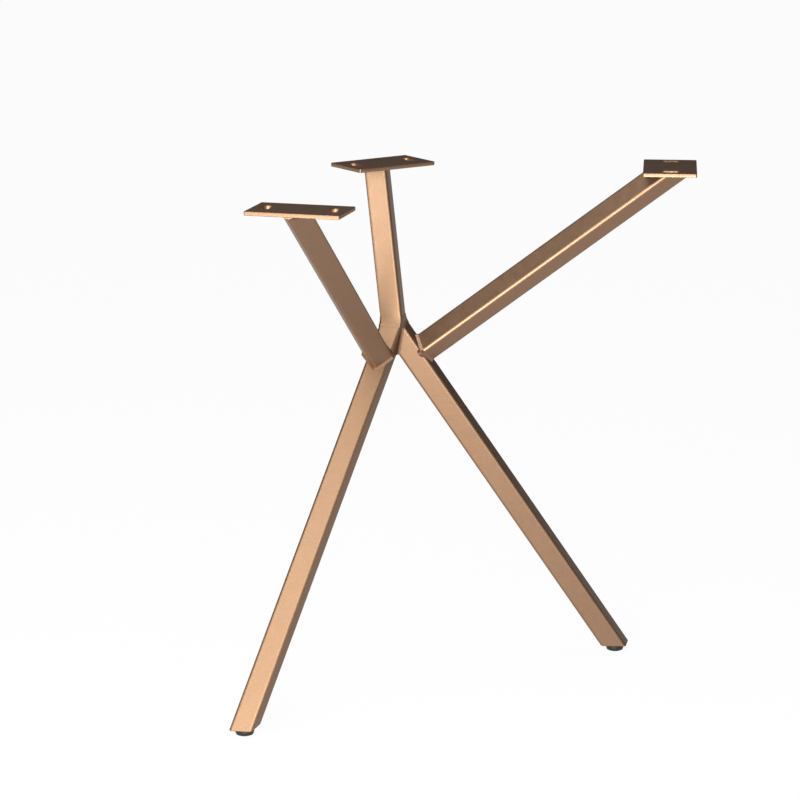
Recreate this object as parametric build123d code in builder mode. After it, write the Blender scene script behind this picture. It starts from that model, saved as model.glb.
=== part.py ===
from build123d import *
from math import cos, radians, sin, sqrt, tan
import os

# Sizes in mm and degrees. +Z is up, the floor is Z = 0, and X = 0 is the plane that mirrors
# the left side to the right. The front, where the two side arms reach, looks along -Y.

# Square steel tube, which every leg and arm is cut from
tube_size = 30.0
tube_wall = 2.0
tube_corner_radius = 4.0

# Mounting plates, with one slot near each end that runs across the plate
overall_height = 700.0
plate_length = 120.0
plate_thickness = 5.0
plate_corner_radius = 2.0
plate_edge_bevel = 0.6
slot_length = 26.0
slot_width = 12.0
slot_spacing = 85.0

# Two legs and the middle arm meet at one point, as an upside-down Y that leans back
junction_height = 485.0
leg_lean = 12.3
leg_spread = 32.0
middle_arm_lean = 10.8

# Side arms rise forward and outward, each from its leg to a plate that is turned to face it
side_arm_drop = 52.5
side_arm_turn = 51.6
side_arm_rise = 36.9
side_plate_turn = 50.2
side_plate_shift = 3.6

# How far the plates reach past the side arms' cut ends, at the outer edge and at the inner one
plate_margin = 0.4
plate_weld_room = 4.46

# Weld beads: out from the tube, along it, and the thin skin under a coped end's overhang
plate_weld_width = 3.0
plate_weld_height = 4.0
root_weld_width = 2.5
root_weld_height = 3.5
root_weld_skin = 1.5

# Ground welds at the junction: the blend of the middle arm into each leg, and of leg into leg,
# and the thin layer that is left where they run out
junction_blend_radius = 23.0
junction_blend_steps = 3
crotch_blend_radius = 3.0
ground_weld_skin = 0.4

# Leg ends: a steel closing plate with a plastic glide pressed into it
end_plate_thickness = 3.0
end_plate_edge_bevel = 1.0
glide_diameter = 25.0
glide_height = 9.0
glide_rim_width = 4.0
glide_rim_break = 1.2
glide_rim_height = 5.0
glide_stem_diameter = 8.0
glide_stem_length = 14.0
glide_stem_clearance = 0.15

# Places that follow from the sizes above
plate_underside = overall_height - plate_thickness
end_plate_top = glide_height + end_plate_thickness
cut_allowance = 2 * tube_size
half_diagonal = (tube_size / 2 - tube_corner_radius) * sqrt(2) + tube_corner_radius
side_cut_reach = half_diagonal / sin(radians(side_arm_rise))
plate_width = 2 * side_cut_reach + plate_margin + plate_weld_room

# Directions of the tubes, and of the tube edges that stand to the front
frame_front = Vector(0, -cos(radians(leg_lean)), sin(radians(leg_lean)))
frame_up = Vector(0, sin(radians(leg_lean)), cos(radians(leg_lean)))
leg_direction = frame_up * -cos(radians(leg_spread)) + Vector(-sin(radians(leg_spread)), 0, 0)
other_leg_direction = Vector(-leg_direction.X, leg_direction.Y, leg_direction.Z)
middle_arm_front = Vector(0, -cos(radians(middle_arm_lean)), sin(radians(middle_arm_lean)))
middle_arm_direction = Vector(0, sin(radians(middle_arm_lean)), cos(radians(middle_arm_lean)))
side_arm_plan = Vector(-sin(radians(side_arm_turn)), -cos(radians(side_arm_turn)), 0)
side_arm_direction = side_arm_plan * cos(radians(side_arm_rise)) + Vector(0, 0, sin(radians(side_arm_rise)))
side_arm_edge = side_arm_direction.cross(Vector(0, 0, 1)).normalized()

# Plates as seen from the junction: each covers the cut end of its tube
side_plate_along = Vector(cos(radians(side_plate_turn)), -sin(radians(side_plate_turn)), 0)
side_plate_out = Vector(-sin(radians(side_plate_turn)), -cos(radians(side_plate_turn)), 0)
side_arm_start = leg_direction * side_arm_drop
side_arm_run = (plate_underside - junction_height - side_arm_start.Z) / side_arm_direction.Z
side_plate_centre = (
    side_arm_start
    + side_arm_direction * side_arm_run
    + side_plate_out * (side_cut_reach + plate_margin - plate_width / 2)
    + side_plate_along * side_plate_shift
)
middle_arm_run = (plate_underside - junction_height) / middle_arm_direction.Z
middle_cut_reach = half_diagonal / cos(radians(middle_arm_lean))
middle_plate_back = middle_arm_direction.Y * middle_arm_run + middle_cut_reach + plate_margin - plate_width / 2

# The junction's place on Y, which centres the whole between its rear plate and its front corners
rear_reach = middle_plate_back + plate_width / 2
corner_forward = (
    abs(side_plate_along.Y) * (plate_length / 2 - plate_corner_radius)
    + abs(side_plate_out.Y) * (plate_width / 2 - plate_corner_radius)
    + plate_corner_radius
)
front_reach = corner_forward - side_plate_centre.Y
junction_y = (front_reach - rear_reach) / 2
junction = Vector(0, junction_y, junction_height)
side_arm_root = junction + side_arm_start

# Where the leg's centre line meets the floor side of its end plate
leg_run = (junction_height - glide_height) / -leg_direction.Z
leg_end = junction + leg_direction * leg_run

# The leg's outer face that the side arm lands on
leg_arm_face = (frame_front + leg_direction.cross(frame_front)) * (1 / sqrt(2))


def across(point, direction, edge):
    """Plane across a tube at a point on its centre line, with X toward one of its edges."""
    return Plane(origin=point, x_dir=edge, z_dir=direction)


def mitre(point, kept, other):
    """Plane halfway between two tubes that meet at a point, facing the one that is kept."""
    return Plane(origin=point, z_dir=(kept - other).normalized())


def above_leg_face(distance):
    """Plane along the side arm's root, at a distance from the leg's centre line."""
    toward_arm = side_arm_direction * (distance / side_arm_direction.dot(leg_arm_face))
    return Plane(origin=side_arm_root + toward_arm, x_dir=side_arm_edge, z_dir=leg_arm_face)


def horizontal(height):
    """Level plane at a height above the floor."""
    return Plane.XY.offset(height)


def tube_profile():
    """Square tube with rounded corners, drawn corner first on the current sketch."""
    RectangleRounded(tube_size, tube_size, tube_corner_radius, rotation=45)
    offset(amount=-tube_wall, mode=Mode.SUBTRACT)


def tube_form(plane, length):
    """Filled tube from a plane across it."""
    with BuildPart() as form:
        with BuildSketch(plane):
            RectangleRounded(tube_size, tube_size, tube_corner_radius, rotation=45)
        extrude(amount=length)
    return form


def bead_outline(width):
    """Outline of a weld bead around a tube, its corners cut as far as the tube's are rounded."""
    Rectangle(tube_size + 2 * width, tube_size + 2 * width, rotation=45)
    chamfer(vertices(), length=(2 - sqrt(2)) * (tube_corner_radius + width))


# Filled forms of the tubes, which the welds and the coped end are cut with
leg_start = across(junction - leg_direction * cut_allowance, leg_direction, frame_front)
leg_form = tube_form(leg_start, leg_run + 2 * cut_allowance)
middle_arm_start = across(
    junction - middle_arm_direction * cut_allowance, middle_arm_direction, middle_arm_front
)
middle_arm_form = tube_form(middle_arm_start, middle_arm_run + 2 * cut_allowance)
side_arm_plane = across(side_arm_root, side_arm_direction, side_arm_edge)
side_arm_form = tube_form(side_arm_plane, side_arm_run + cut_allowance)

# Left leg: mitred to the middle arm and to the right leg, cut level above its end plate
with BuildPart() as left_leg:
    with BuildSketch(leg_start):
        tube_profile()
    extrude(amount=leg_run + 2 * cut_allowance)
    split(bisect_by=mitre(junction, leg_direction, middle_arm_direction), keep=Keep.TOP)
    split(bisect_by=mitre(junction, leg_direction, other_leg_direction), keep=Keep.TOP)
    split(bisect_by=horizontal(end_plate_top), keep=Keep.TOP)
left_leg.part.label = "left_leg"

# Middle arm: pointed at its foot to sit between the legs, cut level under its plate
with BuildPart() as middle_arm:
    with BuildSketch(middle_arm_start):
        tube_profile()
    extrude(amount=middle_arm_run + 2 * cut_allowance)
    split(bisect_by=mitre(junction, middle_arm_direction, leg_direction), keep=Keep.TOP)
    split(bisect_by=mitre(junction, middle_arm_direction, other_leg_direction), keep=Keep.TOP)
    split(bisect_by=horizontal(plate_underside), keep=Keep.BOTTOM)
middle_arm.part.label = "middle_arm"

# Left arm: coped over the leg's outer face and its two rounded edges, cut level under its plate
cope_depth = tube_size / 2 - tube_corner_radius
with BuildPart() as left_arm:
    with BuildSketch(side_arm_plane):
        tube_profile()
    extrude(amount=side_arm_run + cut_allowance)
    split(bisect_by=above_leg_face(cope_depth), keep=Keep.TOP)
    split(bisect_by=horizontal(plate_underside), keep=Keep.BOTTOM)
    add(leg_form.part, mode=Mode.SUBTRACT)
left_arm.part.label = "left_arm"


def mounting_plate(plane):
    """Flat steel plate with two slots, its sharp edges broken, on the given plane."""
    with BuildPart() as plate:
        with BuildSketch(plane):
            RectangleRounded(plate_length, plate_width, plate_corner_radius)
        extrude(amount=plate_thickness)
        rims = plate.edges().group_by(Axis.Z)[0] + plate.edges().group_by(Axis.Z)[-1]
        chamfer(rims, length=plate_edge_bevel)
        with BuildSketch(plane):
            with GridLocations(slot_spacing, 0, 2, 1):
                SlotOverall(slot_length, slot_width, rotation=90)
        extrude(amount=plate_thickness, mode=Mode.SUBTRACT)
    return plate


middle_plate_origin = Vector(0, junction_y + middle_plate_back, plate_underside)
middle_plate_plane = Plane(origin=middle_plate_origin, x_dir=(1, 0, 0), z_dir=(0, 0, 1))
middle_plate = mounting_plate(middle_plate_plane)
middle_plate.part.label = "middle_plate"

left_plate_plane = Plane(origin=junction + side_plate_centre, x_dir=side_plate_along, z_dir=(0, 0, 1))
left_plate = mounting_plate(left_plate_plane)
left_plate.part.label = "left_plate"


def bead_cut(start, width, height):
    """Level cut, at a height, through a bead of a width that runs along a tube."""
    with BuildPart() as run_of_bead:
        with BuildSketch(start):
            bead_outline(width)
        extrude(amount=(overall_height - start.origin.Z) / start.z_dir.Z + cut_allowance)
    return section(run_of_bead.part, section_by=horizontal(height)).face()


def plate_weld(start, form, plane):
    """Bead around a tube's end on the underside of its plate, kept within the plate."""
    foot_of_bead = bead_cut(start, plate_weld_width, plate_underside)
    end_of_bead = bead_cut(start, 0, plate_underside - plate_weld_height)
    with BuildPart() as bead:
        loft(sections=[foot_of_bead, end_of_bead], ruled=True)
        add(form.part, mode=Mode.SUBTRACT)
        with BuildSketch(plane):
            Rectangle(plate_length - 2 * plate_edge_bevel, plate_width - 2 * plate_edge_bevel)
        extrude(amount=-plate_weld_height, mode=Mode.INTERSECT)
    return bead


middle_plate_weld = plate_weld(middle_arm_start, middle_arm_form, middle_plate_plane)
middle_plate_weld.part.label = "middle_plate_weld"

left_plate_weld = plate_weld(side_arm_plane, side_arm_form, left_plate_plane)
left_plate_weld.part.label = "left_plate_weld"

# Bead around the side arm's coped end, with a thin skin that closes its overhanging corners
with BuildPart() as coped_arm_form:
    add(side_arm_form.part)
    split(bisect_by=above_leg_face(cope_depth), keep=Keep.TOP)

with BuildPart() as left_arm_weld:
    with BuildSketch(above_leg_face(cope_depth - root_weld_skin)):
        bead_outline(0)
    with BuildSketch(above_leg_face(tube_size / 2)):
        bead_outline(root_weld_width)
    with BuildSketch(above_leg_face(tube_size / 2 + root_weld_height)):
        bead_outline(0)
    loft(ruled=True)
    add(coped_arm_form.part, mode=Mode.SUBTRACT)
    add(leg_form.part, mode=Mode.SUBTRACT)
left_arm_weld.part.label = "left_arm_weld"



def seam_cut(start, shift, plane):
    """Cut along a plane through a tube's outline that is shifted sideways from its centre line."""
    with BuildPart() as run_of_bead:
        with BuildSketch(start):
            with Locations((0, shift)):
                bead_outline(ground_weld_skin)
        extrude(amount=2 * cut_allowance)
    return section(run_of_bead.part, section_by=plane).face()


def ground_weld(start, direction, other, shifts, reach):
    """Weld on one tube's side of a mitre, thickest at the seam and run out along the tube."""
    seam = mitre(junction, direction, other)
    cuts = []
    for place, shift in enumerate(shifts):
        run_out = direction * (reach * place / (len(shifts) - 1))
        cuts.append(seam_cut(start, shift, Plane(origin=junction + run_out, z_dir=seam.z_dir)))
    with BuildPart() as weld:
        loft(sections=cuts, ruled=True)
    return weld


def mitred_form(form, direction, first_other, second_other):
    """Filled tube that ends at its two mitres."""
    with BuildPart() as mitred:
        add(form.part)
        split(bisect_by=mitre(junction, direction, first_other), keep=Keep.TOP)
        split(bisect_by=mitre(junction, direction, second_other), keep=Keep.TOP)
    return mitred


# Junction weld: follows the arc that rounds the bend between the arm and a leg, and between the legs
blend_reach = junction_blend_radius * tan(radians(leg_spread / 2))
blend_shifts = []
for step in range(junction_blend_steps + 1):
    left_of_reach = blend_reach * (1 - step / junction_blend_steps)
    blend_shifts.append(left_of_reach**2 / (2 * junction_blend_radius))
arm_shifts = [-shift for shift in blend_shifts]
crotch_reach = crotch_blend_radius / tan(radians(leg_spread))
crotch_shifts = [crotch_blend_radius * (sin(radians(leg_spread)) - 1), 0]
arm_side = ground_weld(middle_arm_start, middle_arm_direction, leg_direction, arm_shifts, blend_reach)
leg_side = ground_weld(leg_start, leg_direction, middle_arm_direction, blend_shifts, blend_reach)
crotch_side = ground_weld(leg_start, leg_direction, other_leg_direction, crotch_shifts, crotch_reach)
mitred_leg = mitred_form(leg_form, leg_direction, middle_arm_direction, other_leg_direction)
mitred_arm = mitred_form(middle_arm_form, middle_arm_direction, leg_direction, other_leg_direction)
with BuildPart() as crotch_weld:
    add(crotch_side.part)
    split(bisect_by=mitre(junction, leg_direction, middle_arm_direction), keep=Keep.TOP)
with BuildPart() as junction_weld:
    add(arm_side.part)
    add(leg_side.part)
    split(bisect_by=Plane.YZ, keep=Keep.BOTTOM)
    add(crotch_weld.part)
    add(mitred_leg.part, mode=Mode.SUBTRACT)
    add(mitred_arm.part, mode=Mode.SUBTRACT)
    mirror(about=Plane.YZ)
junction_weld.part.label = "junction_weld"

# Left end plate: closes the leg, flush with the tube, with a hole for the glide's stem
with BuildPart() as left_end_plate:
    add(leg_form.part)
    split(bisect_by=horizontal(end_plate_top), keep=Keep.BOTTOM)
    split(bisect_by=horizontal(glide_height), keep=Keep.TOP)
    chamfer(left_end_plate.edges().group_by(Axis.Z)[0], length=end_plate_edge_bevel)
    with Locations(Plane(origin=(leg_end.X, leg_end.Y, glide_height), z_dir=(0, 0, 1))):
        Hole(radius=glide_stem_diameter / 2 + glide_stem_clearance)
left_end_plate.part.label = "left_end_plate"

# Left glide: a pad with a rounded-off lower rim, and the stem that holds it in the leg
pad_radius = glide_diameter / 2
stem_radius = glide_stem_diameter / 2
glide_centre = Vector(leg_end.X, leg_end.Y, 0)
with BuildPart() as left_glide:
    with BuildSketch(Plane(origin=glide_centre, x_dir=(1, 0, 0), z_dir=(0, -1, 0))):
        with BuildLine():
            Polyline(
                (0, 0),
                (pad_radius - glide_rim_width, 0),
                (pad_radius - glide_rim_break, glide_rim_break),
                (pad_radius, glide_rim_height),
                (pad_radius, glide_height),
                (stem_radius, glide_height),
                (stem_radius, glide_height + glide_stem_length),
                (0, glide_height + glide_stem_length),
                close=True,
            )
        make_face()
    revolve(axis=Axis(glide_centre, (0, 0, 1)))
left_glide.part.label = "left_glide"

# The right side mirrors the left
left_pieces = [
    left_leg,
    left_arm,
    left_plate,
    left_arm_weld,
    left_plate_weld,
    left_end_plate,
    left_glide,
]
right_pieces = []
for piece in left_pieces:
    with BuildPart() as right_piece:
        mirror(piece.part, about=Plane.YZ)
    right_piece.part.label = piece.part.label.replace("left", "right")
    right_pieces.append(right_piece)

os.makedirs("parts", exist_ok=True)
middle_pieces = [middle_arm, middle_plate, middle_plate_weld, junction_weld]
for piece in middle_pieces + left_pieces + right_pieces:
    export_step(piece.part, f"parts/{piece.part.label}.step")
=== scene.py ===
import math

import bpy
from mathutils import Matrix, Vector


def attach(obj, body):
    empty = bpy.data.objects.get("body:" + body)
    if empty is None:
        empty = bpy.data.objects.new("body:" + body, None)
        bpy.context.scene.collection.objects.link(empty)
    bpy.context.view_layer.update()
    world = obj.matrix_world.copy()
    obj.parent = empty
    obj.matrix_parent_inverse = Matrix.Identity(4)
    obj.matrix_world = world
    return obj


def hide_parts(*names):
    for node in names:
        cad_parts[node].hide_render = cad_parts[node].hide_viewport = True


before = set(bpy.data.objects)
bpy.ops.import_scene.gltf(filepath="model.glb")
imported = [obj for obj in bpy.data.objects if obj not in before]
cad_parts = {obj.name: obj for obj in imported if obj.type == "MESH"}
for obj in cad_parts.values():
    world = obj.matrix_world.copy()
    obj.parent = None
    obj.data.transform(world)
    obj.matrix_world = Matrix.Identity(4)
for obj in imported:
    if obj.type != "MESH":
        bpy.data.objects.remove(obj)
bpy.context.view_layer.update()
MM = 0.001

# Camera: the photograph's place and turn, in the frame's metres, and its lens in millimetres
CAMERA_PLACE = (-2.1623, -3.0366, 1.2972)
CAMERA_YAW = math.radians(34.587)
CAMERA_PITCH = math.radians(13.488)
CAMERA_LENS = 131.58
SENSOR_WIDTH = 36.0
CAMERA_REACH = 100.0

# Floor and room: FLOOR_GLOW is the share of the floor's white that doesn't depend on the lamps
FLOOR_HALF = 40.0
FLOOR_GLOW = 0.96
PAPER_GREY = "e6e6e6"
PAPER_WHITE = "ffffff"
ROOM_GREY = "565b5f"

# Lamps: the height they aim at, the softboxes' distance and side, and the low strip's measures
LAMP_AIM = 0.4
SOFTBOX_DISTANCE = 3.0
SOFTBOX_SIDE = 1.6
STRIP_DISTANCE = 1.5
STRIP_WIDTH = 1.4
STRIP_DEPTH = 0.32
STRIP_HEIGHT = 0.17
NEUTRAL_WHITE = "fcfff5"
WARM_WHITE = "fffae8"
COOL_WHITE = "f7f7ff"

# Bronze coat: its flakes, its slow clouds, its gloss, and the tint of grazing reflections
FLAKE_SIZE = 1.5 * MM
FLAKE_HEIGHT = 0.1 * MM
FLAKE_BUMP = 0.05
DARK_FLAKE = "866a56"
LIGHT_FLAKE = "90725d"
DARK_FLAKE_STOP = 0.3
LIGHT_FLAKE_STOP = 0.7
CLOUD_SIZE = 14.0 * MM
CLOUD_HEIGHT = 0.4 * MM
CLOUD_BUMP = 0.3
SMOOTHEST_COAT = 0.42
ROUGHEST_COAT = 0.52
EDGE_TINT = "aca5a0"
CLEAR_LAYER = 0.2
CLEAR_ROUGHNESS = 0.2
CLEAR_IOR = 1.5

# Glide plastic: its colour, its sheen and the texture of its mould
PLASTIC_BLACK = "151416"
PLASTIC_ROUGHNESS = 0.5
PLASTIC_SHEEN = 0.35
MOULD_TEXTURE = 0.8 * MM
MOULD_HEIGHT = 0.05 * MM
MOULD_BUMP = 0.2

# Plate edges: their rounding, and the turns between faces that count as an edge and as flat
PLATE_EDGE_RADIUS = 1.6 * MM
ROUNDING_STEPS = 3
MERGE_DISTANCE = 0.001 * MM
EDGE_ANGLE = math.radians(60)
FLAT_ANGLE = math.radians(2)
LARGE_FACE_WEIGHT = 100


def linear(hex_colour):
    """Scene-linear RGBA of an sRGB hex colour such as "c8a070"."""
    parts = [int(hex_colour[i:i + 2], 16) / 255 for i in (0, 2, 4)]
    return [p / 12.92 if p <= 0.04045 else ((p + 0.055) / 1.055) ** 2.4 for p in parts] + [1.0]


def new_material(name):
    """An empty node material, its node tree and its output node."""
    material = bpy.data.materials.new(name)
    material.use_nodes = True
    tree = material.node_tree
    tree.nodes.clear()
    output = tree.nodes.new("ShaderNodeOutputMaterial")
    return material, tree, output


def add_node(tree, kind, settings=None, values=None, links=None):
    """Adds a node, sets its properties and socket values, and links sockets into its inputs."""
    node = tree.nodes.new(kind)
    for key, value in (settings or {}).items():
        setattr(node, key, value)
    for key, value in (values or {}).items():
        node.inputs[key].default_value = value
    for key, socket in (links or {}).items():
        tree.links.new(socket, node.inputs[key])
    return node


def studio_paper():
    """White paper sweep: it shows as white, and keeps a faint soft shadow under the leg."""
    material, tree, output = new_material("white_studio_paper")
    light_path = add_node(tree, "ShaderNodeLightPath")
    seen_or_mirrored = add_node(
        tree, "ShaderNodeMath", {"operation": "MAXIMUM"},
        links={0: light_path.outputs["Is Camera Ray"], 1: light_path.outputs["Is Glossy Ray"]},
    )
    seen = add_node(
        tree, "ShaderNodeMath", {"operation": "MAXIMUM"},
        links={0: seen_or_mirrored.outputs[0], 1: light_path.outputs["Is Transmission Ray"]},
    )
    glow_share = add_node(
        tree, "ShaderNodeMath", {"operation": "MULTIPLY"}, {1: FLOOR_GLOW}, {0: seen.outputs[0]}
    )
    paper = add_node(tree, "ShaderNodeBsdfDiffuse", values={"Color": linear(PAPER_GREY)})
    glow = add_node(
        tree, "ShaderNodeEmission", values={"Color": linear(PAPER_WHITE), "Strength": 1.0}
    )
    mixed = add_node(
        tree, "ShaderNodeMixShader",
        links={0: glow_share.outputs[0], 1: paper.outputs[0], 2: glow.outputs[0]},
    )
    tree.links.new(mixed.outputs[0], output.inputs["Surface"])
    return material


def softbox(
    name, azimuth, elevation, power, colour,
    distance=SOFTBOX_DISTANCE, width=SOFTBOX_SIDE, height=SOFTBOX_SIDE,
):
    """Soft lamp turned to the leg's middle. Azimuth 0 is the camera's side and 90 is its left."""
    turn = CAMERA_YAW + math.radians(azimuth)
    rise = math.radians(elevation)
    away = Vector((
        -math.sin(turn) * math.cos(rise), -math.cos(turn) * math.cos(rise), math.sin(rise),
    ))
    data = bpy.data.lights.new(name, "AREA")
    data.shape = "RECTANGLE"
    data.size = width
    data.size_y = height
    data.energy = power
    data.color = linear(colour)[:3]
    lamp = bpy.data.objects.new(name, data)
    lamp.location = Vector((0, 0, LAMP_AIM)) + away * distance
    lamp.rotation_euler = (-away).to_track_quat("-Z", "Y").to_euler()
    lamp.visible_camera = False
    bpy.context.collection.objects.link(lamp)
    return lamp


def bronze_coat():
    """Metallic bronze powder coat: satin, brown in the shade and golden toward the lamps."""
    material, tree, output = new_material("bronze_powder_coat")
    place = add_node(tree, "ShaderNodeTexCoord").outputs["Object"]
    # Flakes of pigment, which show as a fine grain. They are drawn coarser than real ones
    flakes = add_node(
        tree, "ShaderNodeTexNoise", values={"Scale": 1.0 / FLAKE_SIZE, "Detail": 3.0},
        links={"Vector": place},
    )
    colour = add_node(tree, "ShaderNodeValToRGB", links={0: flakes.outputs["Fac"]})
    dark, light = colour.color_ramp.elements
    dark.position = DARK_FLAKE_STOP
    dark.color = linear(DARK_FLAKE)
    light.position = LIGHT_FLAKE_STOP
    light.color = linear(LIGHT_FLAKE)
    # Slow unevenness of the coat, which clouds the reflections a little
    clouds = add_node(
        tree, "ShaderNodeTexNoise", values={"Scale": 1.0 / CLOUD_SIZE, "Detail": 2.0},
        links={"Vector": place},
    )
    gloss = add_node(
        tree, "ShaderNodeMapRange", values={"To Min": SMOOTHEST_COAT, "To Max": ROUGHEST_COAT},
        links={"Value": clouds.outputs["Fac"]},
    )
    grain = add_node(
        tree, "ShaderNodeBump", values={"Strength": FLAKE_BUMP, "Distance": FLAKE_HEIGHT},
        links={"Height": flakes.outputs["Fac"]},
    )
    waves = add_node(
        tree, "ShaderNodeBump", values={"Strength": CLOUD_BUMP, "Distance": CLOUD_HEIGHT},
        links={"Height": clouds.outputs["Fac"], "Normal": grain.outputs[0]},
    )
    # A thin clear layer adds the sharper part of the highlights on the tubes' corners
    coat = add_node(
        tree, "ShaderNodeBsdfPrincipled",
        values={
            "Metallic": 1.0, "Specular Tint": linear(EDGE_TINT), "Coat Weight": CLEAR_LAYER,
            "Coat Roughness": CLEAR_ROUGHNESS, "Coat IOR": CLEAR_IOR,
        },
        links={
            "Base Color": colour.outputs[0], "Roughness": gloss.outputs[0],
            "Normal": waves.outputs[0],
        },
    )
    tree.links.new(coat.outputs[0], output.inputs["Surface"])
    return material


def moulded_plastic():
    """Black polyethylene of the glides: a soft sheen on a fine moulded texture."""
    material, tree, output = new_material("moulded_black_plastic")
    place = add_node(tree, "ShaderNodeTexCoord").outputs["Object"]
    # The texture is drawn coarser than a real mould's, so that it shows
    texture = add_node(
        tree, "ShaderNodeTexNoise", values={"Scale": 1.0 / MOULD_TEXTURE}, links={"Vector": place}
    )
    bump = add_node(
        tree, "ShaderNodeBump", values={"Strength": MOULD_BUMP, "Distance": MOULD_HEIGHT},
        links={"Height": texture.outputs["Fac"]},
    )
    plastic = add_node(
        tree, "ShaderNodeBsdfPrincipled",
        values={
            "Base Color": linear(PLASTIC_BLACK), "Roughness": PLASTIC_ROUGHNESS,
            "Specular IOR Level": PLASTIC_SHEEN,
        },
        links={"Normal": bump.outputs[0]},
    )
    tree.links.new(plastic.outputs[0], output.inputs["Surface"])
    return material


def coated_plate(node):
    """A plate with the round edges that its coat gives it, from a merged copy of the CAD plate."""
    piece = bpy.data.objects.new(node.name + "_coated", node.data.copy())
    bpy.context.collection.objects.link(piece)
    bpy.ops.object.select_all(action="DESELECT")
    piece.select_set(True)
    bpy.context.view_layer.objects.active = piece
    bpy.ops.mesh.customdata_custom_splitnormals_clear()
    bpy.ops.object.mode_set(mode="EDIT")
    bpy.ops.mesh.select_all(action="SELECT")
    bpy.ops.mesh.remove_doubles(threshold=MERGE_DISTANCE)
    bpy.ops.mesh.dissolve_limited(angle_limit=FLAT_ANGLE)
    bpy.ops.object.mode_set(mode="OBJECT")
    bpy.ops.object.shade_smooth()
    round_edges = piece.modifiers.new("round_edges", "BEVEL")
    round_edges.width = PLATE_EDGE_RADIUS
    round_edges.segments = ROUNDING_STEPS
    round_edges.limit_method = "ANGLE"
    round_edges.angle_limit = EDGE_ANGLE
    flat_shading = piece.modifiers.new("flat_shading", "WEIGHTED_NORMAL")
    flat_shading.weight = LARGE_FACE_WEIGHT
    for modifier in ("round_edges", "flat_shading"):
        bpy.ops.object.modifier_apply(modifier=modifier)
    return piece


# Camera
camera_data = bpy.data.cameras.new("camera")
camera_data.lens = CAMERA_LENS
camera_data.sensor_width = SENSOR_WIDTH
camera_data.clip_end = CAMERA_REACH
camera = bpy.data.objects.new("camera", camera_data)
camera.location = CAMERA_PLACE
camera.rotation_euler = (math.pi / 2 - CAMERA_PITCH, 0.0, -CAMERA_YAW)
bpy.context.collection.objects.link(camera)
bpy.context.scene.camera = camera

# A white floor that runs past the photograph's view
bpy.ops.object.select_all(action="DESELECT")
bpy.ops.mesh.primitive_plane_add(size=2 * FLOOR_HALF, location=(0, 0, 0))
floor = bpy.context.object
floor.name = "floor"
floor.data.materials.append(studio_paper())

# The room is dim, as the dark plate tops that mirror it show
world = bpy.data.worlds.new("room")
world.use_nodes = True
background = world.node_tree.nodes["Background"]
background.inputs["Color"].default_value = linear(ROOM_GREY)
background.inputs["Strength"].default_value = 1.0
bpy.context.scene.world = world
bpy.context.scene.view_settings.view_transform = "Standard"

# Softboxes to the left of the camera and overhead, and a low strip that lights the legs' fronts
softbox("softbox_front", azimuth=15, elevation=15, power=66.0, colour=NEUTRAL_WHITE)
softbox("softbox_left", azimuth=65, elevation=10, power=35.0, colour=NEUTRAL_WHITE)
softbox("softbox_high", azimuth=25, elevation=50, power=34.0, colour=WARM_WHITE)
softbox("softbox_overhead", azimuth=0, elevation=88, power=50.0, colour=COOL_WHITE)
strip = softbox(
    "strip_low", azimuth=5, elevation=0, power=40.0, colour=WARM_WHITE,
    distance=STRIP_DISTANCE, width=STRIP_WIDTH, height=STRIP_DEPTH,
)
strip.location.z = STRIP_HEIGHT

# The glides are plastic, and all else is coated steel
coat = bronze_coat()
plastic = moulded_plastic()
for name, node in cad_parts.items():
    node.data.materials.clear()
    node.data.materials.append(plastic if name.endswith("glide") else coat)

# The mounting plates get round edges
for name in ("middle_plate", "left_plate", "right_plate"):
    piece = coated_plate(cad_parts[name])
    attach(piece, "root")
    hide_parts(name)
